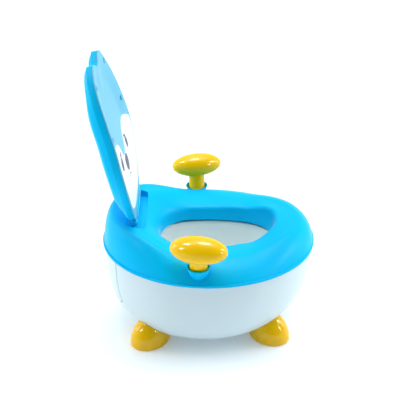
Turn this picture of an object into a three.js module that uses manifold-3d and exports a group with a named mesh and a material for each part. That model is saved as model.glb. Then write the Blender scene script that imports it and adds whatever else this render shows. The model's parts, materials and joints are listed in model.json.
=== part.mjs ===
// Children's potty chair: an oval seat on a round tub with four feet, two grips that lean
// outwards, a lid that hinges at the rear, and a drawer at the rear that holds the waste bowl.
// Millimetres, +Z up, the front of the chair towards -Y.
import * as THREE from 'three';
import { mergeVertices } from 'three/addons/utils/BufferGeometryUtils.js';
import Module from 'manifold-3d';

const wasm = await Module();
wasm.setup();

// ---------------------------------------------------------------- driving dimensions
const GAP = 0.35;                       // clearance between touching pieces
const WALL = 2.6;                       // moulded wall thickness

const LENGTH_MIDDLE = 3.8;              // from the rim's centre back to the middle of the whole length
const RIM = { x: 150, y: 175, z: 148, bead: 4.2, step: 1.3 };
const CREST = { side: 176, rear: 208, front: 187, rearFrom: 20, rearRun: 118, frontFrom: 60, frontRun: 75,
  frontPower: 1.85 };
const WALL_ROUND = { side: 0.35, end: 0.72, lift: 0.6 };
const OUTER_CREST = { x: 112, rear: 156, front: 146, centre: 10, power: 2.15 };
const INNER_CREST = { x: 100, rear: 116, front: 132, centre: 10, power: 2.5 };
const OPENING = { x: 62, rear: 62, front: 130, centre: 20, power: 2.15, frontPower: 2.6, z: 168,
  bottom: 145.5,
  swell: { high: 3, from: 10, run: 40 }, guard: { high: 16, from: 62, run: 50 } };

const TUB = { x: 146.6, y: 171.6, top: 151, bottom: 14, floorScale: 0.62, shift: 7, bulge: 2.6, power: 2 };
const FLANGE = { inner: 0.87, top: 147, thick: 3 };

const radians = THREE.MathUtils.degToRad;
const GRIP = { x: 130, y: 18, z: 175.5, lean: radians(17), toeOut: radians(11.3), pitch: radians(3.5),
  rise: 37.6, long: 44, wide: 22, high: 20.5, stemR: 14, stemWall: 3,
  socketTop: 31.6, collarR: 17, collarBore: 14.7, depth: 20, floor: 4 };

const HINGE = { y: 118, z: 208, r: 5, pinR: 2.5, boreR: 2.7, barrel: 44, earIn: 44.6, earOut: 57,
  earFront: 1, pinFrom: 30, pinTo: 58 };
const POCKET = { x: 62, front: 101, rear: 130, floor: 192 };

const LID = { y: 114.3, z: 212, tilt: radians(12.25), bulge: 8.8, bulgeLength: 238,
  front: 2.2, lip: 2.4, recess: 0.5, dish: 7, dishRise: 118, dishEdge: 0.35, chamfer: 1.2, edge: 15,
  crown: 36.5, neck: 15 };
const BUMPER = { r: 5, foot: 5, at: [[58.5, 228.5, 0.7], [82.5, 154, 1.4]] };

const DRAWER = { x: 73, low: 62, high: 147, corner: 12, gap: 0.8, trayX: 70.5, trayFront: 122, trayTop: 136,
  trayWall: 2.5, slotX: 30, slotZ: 126, slotR: 8 };
const RAIL = { inX: 59, outX: 74, top: 68, thick: 3.5, front: -92, rear: 112, guide: 4 };
const BOWL = { x: 70, front: 118, rear: 94, top: 140.2, flange: 3, lip: 4, bottom: 73, scale: 0.62 };

const FOOT = { rearX: 85, rearY: 98, frontX: 76, frontY: 101, long: 35, wide: 29, high: 46, under: 1,
  padR: 13, padHigh: 2.6 };
const SCREW = { r: 2, hole: 2.35, headR: 4.2, headHigh: 2.4 };

// ---------------------------------------------------------------- materials
const plastic = (color, roughness) => new THREE.MeshStandardMaterial({ color, roughness, metalness: 0 });
const BLUE = plastic(0x08bff2, 0.35);
const FACE = plastic(0x9fe3fb, 0.4);
const WHITE = plastic(0xeef4f6, 0.35);
const YELLOW = plastic(0xf5c40a, 0.15);
const TEAL = plastic(0x0aa5d6, 0.6);
const RUBBER = plastic(0x8f959a, 0.85);
const STEEL = new THREE.MeshStandardMaterial({ color: 0xb8bcc0, roughness: 0.35, metalness: 1 });

// ---------------------------------------------------------------- small maths
const clamp = t => Math.min(1, Math.max(0, t));
const smooth = t => clamp(t) ** 2 * (3 - 2 * clamp(t));
const power = (v, n) => Math.sign(v) * Math.abs(v) ** (2 / n);
const range = (n, f) => Array.from({ length: n }, (_, i) => f(i));
const mix = (a, b, t) => a.map((v, i) => v + (b[i] - v) * t);

// ---------------------------------------------------------------- solids from rows of points
function signedVolume(p, index) {
  let sum = 0;
  for (let i = 0; i < index.length; i += 3) {
    const [a, b, c] = [0, 1, 2].map(k => new THREE.Vector3(...p[index[i + k]]));
    sum += a.dot(b.cross(c));
  }
  return sum / 6;
}

function geometryFrom(points, index) {
  if (signedVolume(points, index) < 0) index.reverse();
  const g = new THREE.BufferGeometry();
  g.setAttribute('position', new THREE.Float32BufferAttribute(points.flat(), 3));
  g.setIndex(index);
  return g;
}

// Rows of equal length. Each row closes on itself. With `loop` the last row joins the first,
// otherwise each end is closed by a fan to the middle of its row.
function skin(rows, loop = false) {
  const n = rows[0].length;
  const points = rows.flat();
  const index = [];
  const bands = loop ? rows.length : rows.length - 1;
  for (let r = 0; r < bands; r++) {
    const a = r * n;
    const b = ((r + 1) % rows.length) * n;
    for (let i = 0; i < n; i++) {
      const j = (i + 1) % n;
      index.push(a + i, a + j, b + i, b + i, a + j, b + j);
    }
  }
  if (!loop) {
    [[0, true], [rows.length - 1, false]].forEach(([r, first]) => {
      const middle = points.length;
      points.push([0, 1, 2].map(k => rows[r].reduce((s, p) => s + p[k], 0) / n));
      for (let i = 0; i < n; i++) {
        const j = (i + 1) % n;
        index.push(...(first ? [middle, r * n + j, r * n + i] : [middle, r * n + i, r * n + j]));
      }
    });
  }
  return geometryFrom(points, index);
}

// The same rows moved inwards by a wall thickness, along the surface normal.
function inset(rows, thickness) {
  const n = rows[0].length;
  const sub = (a, b) => new THREE.Vector3(a[0] - b[0], a[1] - b[1], a[2] - b[2]);
  return rows.map((row, r) => row.map((p, i) => {
    const across = sub(row[(i + 1) % n], row[(i + n - 1) % n]);
    const along = sub(rows[Math.min(r + 1, rows.length - 1)][i], rows[Math.max(r - 1, 0)][i]);
    const normal = across.cross(along).normalize();
    return [p[0] + normal.x * thickness, p[1] + normal.y * thickness, p[2] + normal.z * thickness];
  }));
}

const circle = (n, f) => range(n, i => f((i / n) * Math.PI * 2));

function solid(geometry) {
  const g = geometry.clone();
  g.deleteAttribute('normal');
  g.deleteAttribute('uv');
  const merged = mergeVertices(g, 1e-4);
  const mesh = new wasm.Mesh({
    numProp: 3,
    vertProperties: new Float32Array(merged.attributes.position.array),
    triVerts: new Uint32Array(merged.index.array),
  });
  return new wasm.Manifold(mesh);
}

function geometryOf(body) {
  const mesh = body.getMesh();
  const g = new THREE.BufferGeometry();
  g.setAttribute('position', new THREE.BufferAttribute(new Float32Array(mesh.vertProperties), 3));
  g.setIndex(new THREE.BufferAttribute(new Uint32Array(mesh.triVerts), 1));
  return g;
}

const union = (first, ...others) => others.reduce((body, other) => body.add(other), first);
const cut = (first, ...others) => others.reduce((body, other) => body.subtract(other), first);

// A box between two corners.
function block([x0, y0, z0], [x1, y1, z1]) {
  const g = new THREE.BoxGeometry(x1 - x0, y1 - y0, z1 - z0);
  g.translate((x0 + x1) / 2, (y0 + y1) / 2, (z0 + z1) / 2);
  return solid(g);
}

// A prism along +Z from an outline.
const prismOf = (plan, low, high) => solid(skin([low, high].map(z => plan.map(p => [...p, z]))));

// A cylinder from `low` to `high` along +Z, then moved by a matrix.
function rod(radius, low, high, matrix = new THREE.Matrix4(), sides = 20) {
  const g = new THREE.CylinderGeometry(radius, radius, high - low, sides);
  g.rotateX(Math.PI / 2);
  g.translate(0, 0, (low + high) / 2);
  g.applyMatrix4(matrix);
  return solid(g);
}

const at = (x, y, z = 0) => new THREE.Matrix4().makeTranslation(x, y, z);
const alongX = (y, z) => at(0, y, z).multiply(new THREE.Matrix4().makeRotationY(Math.PI / 2));

// ---------------------------------------------------------------- assembly
const potty = new THREE.Group();

function add(name, body, material) {
  const geometry = geometryOf(body);
  geometry.computeVertexNormals();
  const mesh = new THREE.Mesh(geometry, material);
  mesh.name = name;
  potty.add(mesh);
}

const SIDES = [['left', -1], ['right', 1]];
const ENDS = [['front', -1], ['rear', 1]];

// ---------------------------------------------------------------- seat surface
function crestHeight(y) {
  const rear = smooth((y - CREST.rearFrom) / CREST.rearRun);
  const front = smooth((-CREST.frontFrom - y) / CREST.frontRun);
  return CREST.side + (CREST.rear - CREST.side) * rear + (CREST.front - CREST.side) * front;
}

function crestPoint(crest, c, s) {
  const n = s > 0 ? crest.power : CREST.frontPower;
  const reach = s > 0 ? crest.rear - crest.centre : crest.front + crest.centre;
  const y = crest.centre + reach * power(s, n);
  return [crest.x * power(c, n), y, crestHeight(y)];
}

function openingPoint(c, s, scale = 1) {
  const reach = s > 0 ? OPENING.rear : OPENING.front;
  const n = s > 0 ? OPENING.power : OPENING.frontPower;
  const y = OPENING.centre + scale * reach * power(s, n);
  const rise = ({ high, from, run }) => high * smooth((-from - y) / run);
  return [scale * OPENING.x * power(c, n), y, OPENING.z + rise(OPENING.swell) + rise(OPENING.guard)];
}

// Outer skin of the seat at one angle, from the rim over the crest to the foot of the inner wall.
function seatProfile(angle) {
  const [c, s] = [Math.cos(angle), Math.sin(angle)];
  const rim = (drop, z) => [(RIM.x - drop) * c, (RIM.y - drop) * s, z];
  const start = rim(RIM.step, RIM.z + RIM.bead + 0.6);
  const outer = crestPoint(OUTER_CREST, c, s);
  const inner = crestPoint(INNER_CREST, c, s);
  const edge = openingPoint(c, s);
  const foot = openingPoint(c, s, 0.97);
  const rows = [rim(0, RIM.z), rim(0, RIM.z + RIM.bead), start];
  const roundness = WALL_ROUND.side + (WALL_ROUND.end - WALL_ROUND.side) * s * s;
  [0.25, 0.5, 0.75, 1].forEach(t => {
    const a = t * Math.PI / 2;
    const inwards = roundness * (1 - Math.cos(a)) + (1 - roundness) * t;
    const up = roundness * Math.sin(a) + (1 - roundness) * (1 - (1 - t) ** (1 + WALL_ROUND.lift * s * s));
    const [x, y] = mix(start, outer, inwards);
    rows.push([x, y, start[2] + (outer[2] - start[2]) * up]);
  });
  rows.push(inner);
  [0.3, 0.6, 0.88].forEach(t => {
    rows.push([...mix(inner.slice(0, 2), edge.slice(0, 2), t), inner[2] + (edge[2] - inner[2]) * t ** 1.35]);
  });
  rows.push([...mix(edge, foot, 0.15).slice(0, 2), edge[2] - 2.5]);
  rows.push([foot[0], foot[1], OPENING.bottom]);
  return rows;
}

const SEAT_SEGMENTS = 36;
const byRow = profiles => profiles[0].map((_, r) => profiles.map(p => p[r]));
const seatRows = byRow(circle(SEAT_SEGMENTS, seatProfile));
const seatVolume = solid(skin(seatRows, true));

function seatHollow() {
  const rows = inset(seatRows, -WALL).filter((_, r) => [1, 3, 4, 6, 7, 9, 10, 11, 12].includes(r));
  const lowered = (row, z) => row.map(p => [p[0], p[1], z]);
  return solid(skin([lowered(rows[0], RIM.z - 8), ...rows, lowered(rows.at(-1), RIM.z - 12)], true));
}

// ---------------------------------------------------------------- tub surface
function tubRing(z, larger = 0) {
  const t = clamp((RIM.z - z) / (RIM.z - TUB.bottom));
  const scale = TUB.floorScale + (1 - TUB.floorScale) * (1 - t ** TUB.bulge) ** (1 / TUB.power);
  return circle(SEAT_SEGMENTS, a => [
    (TUB.x * scale + larger) * Math.cos(a), (TUB.y * scale + larger) * Math.sin(a) + TUB.shift * t * t, z]);
}

const TUB_LEVELS = [0, 0.3, 0.55, 0.75, 0.88, 0.96, 1].map(t => RIM.z - t * (RIM.z - TUB.bottom));

// The form of the tub's outside, shrunk by an even amount.
function tubVolume(shrink, top = TUB.top) {
  const rows = TUB_LEVELS.map(z => tubRing(z));
  const upper = tubRing(RIM.z).map(p => [p[0], p[1], top]);
  const all = inset([upper, ...rows], shrink);
  const bottom = all.at(-1).map(p => [p[0], p[1], TUB.bottom + shrink]);
  all[0] = all[0].map(p => [p[0], p[1], top]);
  return solid(skin([...all.slice(0, -1), bottom]));
}

const tubOuter = tubVolume(0);
const tubInner = tubVolume(WALL, TUB.top + 20);
const tubClear = tubVolume(WALL + GAP, TUB.top + 20);      // the room that the inner pieces may fill
const tubAround = tubVolume(-GAP);                          // the room that outer pieces keep clear of

// ---------------------------------------------------------------- grips
// Frame of one grip: +Z out of its collar, leaning outwards.
function gripFrame(side) {
  return at(side * GRIP.x, GRIP.y, GRIP.z).multiply(new THREE.Matrix4().makeRotationY(side * GRIP.lean));
}

function knob() {
  const ball = (larger, sides, rings) => {
    const g = new THREE.SphereGeometry(1, sides, rings);
    g.rotateX(Math.PI / 2);
    g.scale(GRIP.wide + larger, GRIP.long + larger, GRIP.high + larger);
    return solid(g);
  };
  return ball(0, 18, 10).subtract(ball(-WALL, 10, 6));
}

const gripNodes = SIDES.map(([name, side]) => {
  const frame = gripFrame(side);
  const floor = -GRIP.depth;
  const ball = knob().transform(new THREE.Matrix4().makeTranslation(0, 0, GRIP.rise)
    .multiply(new THREE.Matrix4().makeRotationZ(side * GRIP.toeOut))
    .multiply(new THREE.Matrix4().makeRotationX(-GRIP.pitch)).elements.slice());
  const socket = rod(GRIP.stemR + GAP, floor, GRIP.socketTop, undefined, 24);
  const stem = cut(rod(GRIP.stemR, floor + GAP, GRIP.socketTop - GAP, undefined, 24),
    rod(GRIP.stemR - GRIP.stemWall, floor + 5, GRIP.rise),
    rod(SCREW.hole, floor - 1, floor + 6, undefined, 12));
  const place = body => body.transform(frame.elements.slice());
  return { name, frame, grip: place(ball.subtract(socket)), stem: place(stem) };
});

// ---------------------------------------------------------------- screws
// A pan-head screw that points along +Z from the underside of its head at z = 0.
function screw(length, matrix) {
  const { r, headR, headHigh } = SCREW;
  const head = [[0, -headHigh], [headR * 0.75, -headHigh], [headR, 0]];
  const shank = [[r, 0], [r, length - 1.5], [0, length]];
  const g = new THREE.LatheGeometry([...head, ...shank].map(([x, y]) => new THREE.Vector2(x, y)), 8);
  g.rotateX(Math.PI / 2);
  g.applyMatrix4(matrix);
  return solid(g);
}

const seatScrewAt = SIDES.flatMap(([sideName, side]) => ENDS.map(([endName, end]) => {
  const angle = THREE.MathUtils.degToRad(end > 0 ? 33 : -40);
  return { name: `seat_screw_${endName}_${sideName}`, x: side * TUB.x * 0.915 * Math.cos(angle),
    y: TUB.y * 0.915 * Math.sin(angle) };
}));
const PILLAR = { r: 5, low: FLANGE.top + GAP, depth: 12 };

// ---------------------------------------------------------------- seat
function hingeEar(side) {
  const [x0, x1] = side > 0 ? [HINGE.earIn, HINGE.earOut] : [-HINGE.earOut, -HINGE.earIn];
  const plate = block([x0, HINGE.y - HINGE.earFront, POCKET.floor - 1], [x1, HINGE.y + HINGE.r, HINGE.z]);
  const eye = rod(HINGE.r, x0, x1, alongX(HINGE.y, HINGE.z));
  return plate.add(eye);
}

function seatShell() {
  const hollow = seatHollow();
  let body = seatVolume.subtract(hollow);
  const linerSize = [POCKET.x + WALL, POCKET.rear + WALL, POCKET.floor - WALL];
  const liner = block([-linerSize[0], POCKET.front - WALL, linerSize[2]], [linerSize[0], linerSize[1], 240]);
  body = body.add(liner.intersect(seatVolume));
  body = body.subtract(block([-POCKET.x, POCKET.front, POCKET.floor], [POCKET.x, POCKET.rear, 240]));
  body = union(body, hingeEar(1), hingeEar(-1));
  body = body.subtract(rod(HINGE.boreR, -HINGE.earOut - 1, HINGE.earOut + 1, alongX(HINGE.y, HINGE.z), 16));
  gripNodes.forEach(({ frame }) => {
    const collar = rod(GRIP.collarR, -GRIP.depth - GRIP.floor, 0, frame, 28);
    body = cut(body.add(collar), rod(GRIP.collarBore, -GRIP.depth, 12, frame, 28),
      rod(SCREW.hole, -GRIP.depth - GRIP.floor - 2, 0, frame, 12));
  });
  seatScrewAt.forEach(({ x, y }) => {
    const pillar = rod(PILLAR.r, PILLAR.low, 200, at(x, y), 16).intersect(seatVolume);
    const hole = rod(SCREW.hole, PILLAR.low - 2, PILLAR.low + PILLAR.depth, at(x, y), 12);
    body = body.add(pillar).subtract(hole);
  });
  return body;
}

// ---------------------------------------------------------------- feet
const feet = ENDS.flatMap(([endName, end]) => SIDES.map(([sideName, side]) => {
  const [x, y] = end > 0 ? [FOOT.rearX * side, FOOT.rearY] : [FOOT.frontX * side, -FOOT.frontY];
  return { name: `${endName}_${sideName}`, x, y, turn: Math.atan2(y, x) };
}));

const FOOT_BOSS = { r: 7, top: 44, screwLong: 26, inwards: 0.78 };

const footScrewPlace = ({ x, y }) => [x * FOOT_BOSS.inwards, y * FOOT_BOSS.inwards];

function footBody(foot) {
  const turned = at(foot.x, foot.y).multiply(new THREE.Matrix4().makeRotationZ(foot.turn));
  const egg = new THREE.SphereGeometry(1, 16, 10);
  egg.rotateX(Math.PI / 2);
  egg.scale(FOOT.long, FOOT.wide, FOOT.high);
  egg.applyMatrix4(turned);
  const [sx, sy] = footScrewPlace(foot);
  const ground = block([foot.x - 60, foot.y - 60, FOOT.under], [foot.x + 60, foot.y + 60, 80]);
  return cut(solid(egg).intersect(ground), tubAround,
    rod(FOOT.padR + GAP, -1, FOOT.padHigh + GAP, at(foot.x, foot.y), 14),
    rod(SCREW.hole, FOOT_BOSS.top - FOOT_BOSS.screwLong - 1, 60, at(sx, sy), 12));
}

// ---------------------------------------------------------------- tub
// The doorway's form at the rear, with round lower corners, shrunk by the gap around the drawer.
function drawerPrism(shrink, high) {
  const { x, low, corner } = DRAWER;
  const arc = side => [0, 1, 2, 3, 4].map(k => {
    const a = (k / 4) * Math.PI / 2;
    const [across, down] = [Math.sin(a), Math.cos(a)].map(v => (corner - shrink) * v);
    return [side * (x - corner + across), low + corner - down];
  });
  const face = [[-x + shrink, high], ...arc(-1).reverse(), ...arc(1), [x - shrink, high]];
  const upright = new THREE.Matrix4().makeRotationX(Math.PI / 2);
  return prismOf(face, -240, -60).transform(upright.elements.slice());
}

function tubShell() {
  let body = tubOuter.subtract(tubInner);
  const flangeRing = solid(skin([tubRing(FLANGE.top - FLANGE.thick, -1), tubRing(FLANGE.top, -1)]
    .map((row, i) => row.map(p => [p[0], p[1], FLANGE.top - (1 - i) * FLANGE.thick]))));
  const [innerX, innerY] = [TUB.x * FLANGE.inner, TUB.y * FLANGE.inner];
  const inner = circle(SEAT_SEGMENTS, a => [innerX * Math.cos(a), innerY * Math.sin(a)]);
  const hole = solid(skin([FLANGE.top - 10, FLANGE.top + 10].map(z => inner.map(p => [...p, z]))));
  body = body.add(flangeRing.subtract(hole));
  feet.forEach(foot => {
    const [x, y] = footScrewPlace(foot);
    body = body.add(rod(FOOT_BOSS.r, 10, FOOT_BOSS.top, at(x, y), 16).intersect(tubOuter));
    body = body.subtract(rod(SCREW.hole, 0, FOOT_BOSS.top + 1, at(x, y), 12));
  });
  seatScrewAt.forEach(({ x, y }) => { body = body.subtract(rod(SCREW.hole, 135, 160, at(x, y), 12)); });
  return body.subtract(drawerPrism(0, 200));
}

// ---------------------------------------------------------------- drawer, its rails and the bowl
// A plan outline with an elliptical front and a squarer rear.
function drawerPlan(halfWidth, front, rear, squareness = 5) {
  return circle(30, a => {
    const [c, s] = [Math.cos(a), Math.sin(a)];
    const n = s > 0 ? squareness : 2.2;
    return [halfWidth * power(c, n), (s > 0 ? rear : front) * power(s, n)];
  });
}

function drawerTray() {
  const { trayX, trayFront, trayTop, trayWall } = DRAWER;
  const low = RAIL.top + GAP;
  const outer = prismOf(drawerPlan(trayX, trayFront, 260, 14), low, trayTop);
  const inner = prismOf(drawerPlan(trayX - trayWall, trayFront - trayWall, 262, 14), low - 1, trayTop + 1);
  const back = block([-trayX + 1, BOWL.rear + 4, low], [trayX - 1, BOWL.rear + 4 + trayWall, trayTop]);
  const runner = side => {
    const [x0, x1] = side > 0 ? [trayX - 9, trayX - 1] : [-trayX + 1, -trayX + 9];
    return block([x0, -50, low], [x1, BOWL.rear + 5, low + trayWall]);
  };
  const grown = outer.subtract(inner).add(back).add(runner(1)).add(runner(-1));
  return grown.intersect(tubClear).subtract(fingerSlot());
}

function fingerSlot() {
  const { slotX, slotZ, slotR } = DRAWER;
  const end = side => {
    const g = new THREE.CylinderGeometry(slotR, slotR, 120, 16);
    g.translate(side * (slotX - slotR), 165, slotZ);
    return solid(g);
  };
  const middle = block([-slotX + slotR, 105, slotZ - slotR], [slotX - slotR, 225, slotZ + slotR]);
  return union(middle, end(1), end(-1));
}

function drawerPanel() {
  const front = tubOuter.intersect(drawerPrism(DRAWER.gap, DRAWER.high));
  return cut(front, tubInner, fingerSlot());
}

function rail(side) {
  const { inX, outX, top, thick, front, rear, guide } = RAIL;
  const span = (a, b, y0, y1, z0, z1) => {
    const [x0, x1] = side > 0 ? [a, b] : [-b, -a];
    return block([x0, y0, z0], [x1, y1, z1]);
  };
  const shelf = span(inX, outX, front, rear, top - thick, top);
  const lip = span(DRAWER.trayX + 0.8, outX, front + 30, rear, top - 1, top + guide);
  const legs = [-34, 10].map(y => span(inX + 2, inX + 6, y, y + 26, 10, top - 1));
  return union(shelf, lip, ...legs).intersect(tubClear);
}

function wasteBowl() {
  const { x, front, rear, top, flange, lip, bottom, scale } = BOWL;
  const under = top - flange;
  const ring = (inwards, z, shrink = 1) =>
    drawerPlan((x - inwards) * shrink, (front - inwards) * shrink, (rear - inwards) * shrink, 2.6)
      .map(p => [...p, z]);
  const steps = [0, 0.3, 0.55, 0.78, 0.93, 1];
  const wallRow = (t, inwards, low) =>
    ring(inwards, under + (low - under) * t, scale + (1 - scale) * (1 - t ** 2.4) ** 0.5);
  const outer = [ring(0, top), ring(0, under), ...steps.map(t => wallRow(t, lip, bottom))];
  const innerWall = steps.slice(1).map(t => wallRow(t, lip + 2.2, bottom + 2.4));
  const inner = [ring(lip + 1.6, top + 2), ring(lip + 2, under), ...innerWall];
  return solid(skin(outer)).subtract(solid(skin(inner)));
}

// ---------------------------------------------------------------- lid
// Outline of the lid, half of it: distance from the middle, height along the lid.
const LID_HALF = [[0, 0], [30, 0], [50, 0.5], [59, 6], [66, 18], [75, 33], [86, 55], [96.5, 80], [102, 106],
  [101.5, 124], [97, 146], [93.5, 168], [87, 192], [77, 216], [62, 237], [45, 251], [33, 254], [21, 250.5],
  [11, 244.5], [0, 243]];

function lidOutline() {
  const half = LID_HALF.map(([u, v]) => new THREE.Vector3(u, v, 0));
  const mirrored = half.slice(1, -1).reverse().map(p => new THREE.Vector3(-p.x, p.y, 0));
  const curve = new THREE.CatmullRomCurve3([...half, ...mirrored], true, 'centripetal');
  return curve.getSpacedPoints(46).slice(0, -1).map(p => [p.x, p.y]);
}

const lidCurve = v => LID.bulge * Math.max(0, Math.sin(Math.PI * clamp(v / LID.bulgeLength))) ** 1.2;

// From lid coordinates (across, along, out of the front) to the chair's.
function lidPoint(u, v, h) {
  const [c, s] = [Math.cos(LID.tilt), Math.sin(LID.tilt)];
  const out = h + lidCurve(v);
  return [u, LID.y + v * s - out * c, LID.z + v * c + out * s];
}

const outline = lidOutline();
const LID_MIDDLE = [0, 118];
const towardsMiddle = (p, t) => mix(p, LID_MIDDLE, t);

function shrunkOutline(inwards) {
  const n = outline.length;
  return outline.map((p, i) => {
    const [a, b] = [outline[(i + 1) % n], outline[(i + n - 1) % n]];
    const d = [a[0] - b[0], a[1] - b[1]];
    const length = Math.hypot(...d);
    return [p[0] - (d[1] / length) * inwards, p[1] + (d[0] / length) * inwards];
  });
}

// Depth of the lid behind its lip, from the middle (t = 1) to the edge (t = 0).
function lidDepth(v, t) {
  const neck = smooth(v / 60);
  const edge = LID.neck + (LID.edge - LID.neck + 1) * neck;
  return edge + (LID.crown - LID.edge) * neck * Math.sqrt(1 - (1 - t) ** 2) * smooth((265 - v) / 90);
}

// The lid's solid form, shrunk evenly by `inwards`, with its front at `front`.
function lidVolume(inwards, front, thinner) {
  const ring = shrunkOutline(inwards);
  const rows = [ring.map(p => lidPoint(p[0], p[1], front))];
  [0, 0.07, 0.2, 0.42, 0.7].forEach(t => {
    rows.push(ring.map(p => {
      const q = towardsMiddle(p, t);
      const depth = t === 0 ? lidDepth(q[1], 0) * 0.72 : lidDepth(q[1], t);
      return lidPoint(q[0], q[1], -depth + thinner);
    }));
  });
  const face = [0.7, 0.35].map(t => ring.map(p => lidPoint(...towardsMiddle(p, t), front)));
  return solid(skin([...face, ...rows]));
}

// How far the panel is dished, at a height and at a share of the way from its edge to the middle.
const dish = (v, t) => LID.dish * smooth(v / LID.dishRise) * smooth(t / LID.dishEdge);

const lidWeb = grow => block([-HINGE.barrel - grow, HINGE.y - HINGE.r - grow, HINGE.z],
  [HINGE.barrel + grow, HINGE.y + HINGE.r + grow, LID.z + 2.2 + grow]);

// The room around the seat's ears.
function earRoom() {
  const { y, z, r, barrel, earOut } = HINGE;
  return [[barrel, earOut + 3], [-earOut - 3, -barrel]].map(([a, b]) => rod(r + 0.8, a, b, alongX(y, z)));
}

function lidBack() {
  const { y, z, r, barrel, boreR, pinFrom } = HINGE;
  const front = -LID.front - GAP;
  let body = lidVolume(0.2, front, 0).subtract(lidVolume(WALL, front + 1, WALL));
  body = union(body, rod(r, -barrel, barrel, alongX(y, z)), lidWeb(0));
  const bores = [[pinFrom - 2, barrel + 1], [-barrel - 1, 2 - pinFrom]];
  return cut(body, ...earRoom(), ...bores.map(([a, b]) => rod(boreR, a, b, alongX(y, z), 16)));
}

function bumperRod(u, v, r, low, high) {
  const place = at(...lidPoint(u, v, 0)).multiply(new THREE.Matrix4().makeRotationX(Math.PI / 2 - LID.tilt));
  return rod(r, low, high, place, 12);
}

// Front moulding: a rim round a dished panel, with a hole for each bumper.
function lidFace() {
  const row = (inwards, t, depth) => shrunkOutline(inwards).map(p => {
    const [u, v] = towardsMiddle(p, t);
    return lidPoint(u, v, -depth - dish(v, t));
  });
  const steps = [0, 0.08, 0.17, 0.26, 0.36, 0.7];
  const panel = steps.map(t => row(LID.lip, t, LID.recess)).reverse();
  const rim = [row(LID.lip - 0.4, 0, 0), row(LID.chamfer, 0, 0), row(0, 0, LID.chamfer)];
  const back = steps.map(t => row(LID.lip, t, LID.front));
  const front = solid(skin([...panel, ...rim, row(0, 0, LID.front), ...back]));
  const bumperAt = SIDES.flatMap(([, side]) => BUMPER.at.map(([u, v]) => [side * u, v]));
  const holes = bumperAt.map(([u, v]) => bumperRod(u, v, BUMPER.r + GAP, -20, 5));
  return cut(front, ...holes, lidWeb(GAP), ...earRoom());
}

// ---------------------------------------------------------------- putting it together
add('seat_shell', seatShell(), BLUE);
add('tub_shell', tubShell(), WHITE);
feet.forEach(foot => {
  const [sx, sy] = footScrewPlace(foot);
  add(`foot_${foot.name}`, footBody(foot), YELLOW);
  add(`foot_pad_${foot.name}`, rod(FOOT.padR, 0, FOOT.padHigh, at(foot.x, foot.y), 14), RUBBER);
  const down = at(sx, sy, FOOT_BOSS.top + GAP).multiply(new THREE.Matrix4().makeRotationX(Math.PI));
  add(`foot_screw_${foot.name}`, screw(FOOT_BOSS.screwLong, down), STEEL);
});
seatScrewAt.forEach(({ name, x, y }) => {
  add(name, screw(PILLAR.depth, at(x, y, FLANGE.top - FLANGE.thick - GAP)), STEEL);
});
gripNodes.forEach(({ name, frame, grip, stem }) => {
  add(`grip_${name}`, grip, YELLOW);
  add(`grip_stem_${name}`, stem, YELLOW);
  const under = frame.clone().multiply(at(0, 0, -GRIP.depth - GRIP.floor - GAP));
  add(`grip_screw_${name}`, screw(9, under), STEEL);
});
add('lid_back', lidBack(), BLUE);
add('lid_face', lidFace(), FACE);
SIDES.forEach(([name, side]) => {
  BUMPER.at.forEach(([u, v, below], i) => {
    const body = bumperRod(side * u, v, BUMPER.r, -BUMPER.foot, -below);
    add(`lid_bumper_${['upper', 'lower'][i]}_${name}`, body, TEAL);
  });
  const [x0, x1] = [HINGE.pinFrom * side, HINGE.pinTo * side].sort((a, b) => a - b);
  add(`hinge_pin_${name}`, rod(HINGE.pinR, x0, x1, alongX(HINGE.y, HINGE.z), 16), STEEL);
  add(`drawer_rail_${name}`, rail(side), WHITE);
});
add('drawer_panel', drawerPanel(), WHITE);
add('drawer_tray', drawerTray(), WHITE);
add('waste_bowl', wasteBowl(), WHITE);

potty.position.y = -LENGTH_MIDDLE;

export default potty;
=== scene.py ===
"""Potty training chair: the finished look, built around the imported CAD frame.

Sizes are in millimetres in the rim's own frame, whose origin is on the floor under the middle of
the rim. `to_frame` turns them into the metres of the CAD frame.
"""
import json
import math

import bmesh
import bpy
import numpy as np
from mathutils import Matrix, Vector


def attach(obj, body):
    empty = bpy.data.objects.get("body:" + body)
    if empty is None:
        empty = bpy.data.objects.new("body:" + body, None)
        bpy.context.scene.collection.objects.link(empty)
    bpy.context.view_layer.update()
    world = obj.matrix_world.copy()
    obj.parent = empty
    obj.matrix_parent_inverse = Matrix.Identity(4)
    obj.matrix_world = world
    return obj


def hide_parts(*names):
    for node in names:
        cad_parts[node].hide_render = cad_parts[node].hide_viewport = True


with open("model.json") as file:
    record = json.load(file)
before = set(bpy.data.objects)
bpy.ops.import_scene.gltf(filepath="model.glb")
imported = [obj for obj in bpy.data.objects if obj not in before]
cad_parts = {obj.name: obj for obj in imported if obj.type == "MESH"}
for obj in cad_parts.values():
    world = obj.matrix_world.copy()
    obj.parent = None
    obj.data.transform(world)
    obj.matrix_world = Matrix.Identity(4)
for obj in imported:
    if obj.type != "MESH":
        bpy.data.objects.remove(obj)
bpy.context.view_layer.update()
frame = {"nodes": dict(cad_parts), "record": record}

# ---------------------------------------------------------------- dimensions, as in the CAD
RIM_SHIFT = 3.8
RIM = dict(x=150.0, y=175.0, z=148.0, bead=4.2, step=2.2)
CREST = dict(side=176.0, rear=208.0, front=187.0, rear_from=20.0, rear_run=118.0, front_from=60.0,
             front_run=75.0, front_power=1.85)
OUTER_CREST = dict(x=112.0, rear=156.0, front=146.0, centre=10.0, power=2.15)
INNER_CREST = dict(x=100.0, rear=116.0, front=132.0, centre=10.0, power=2.5)
OPENING = dict(x=62.0, rear=62.0, front=130.0, centre=20.0, power=2.15, front_power=2.6, z=168.0,
               bottom=145.5)
OPENING_RISES = ((3.0, 10.0, 40.0), (16.0, 62.0, 50.0))
WALL_ROUND = dict(side=0.35, end=0.72, lift=0.6)
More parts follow.
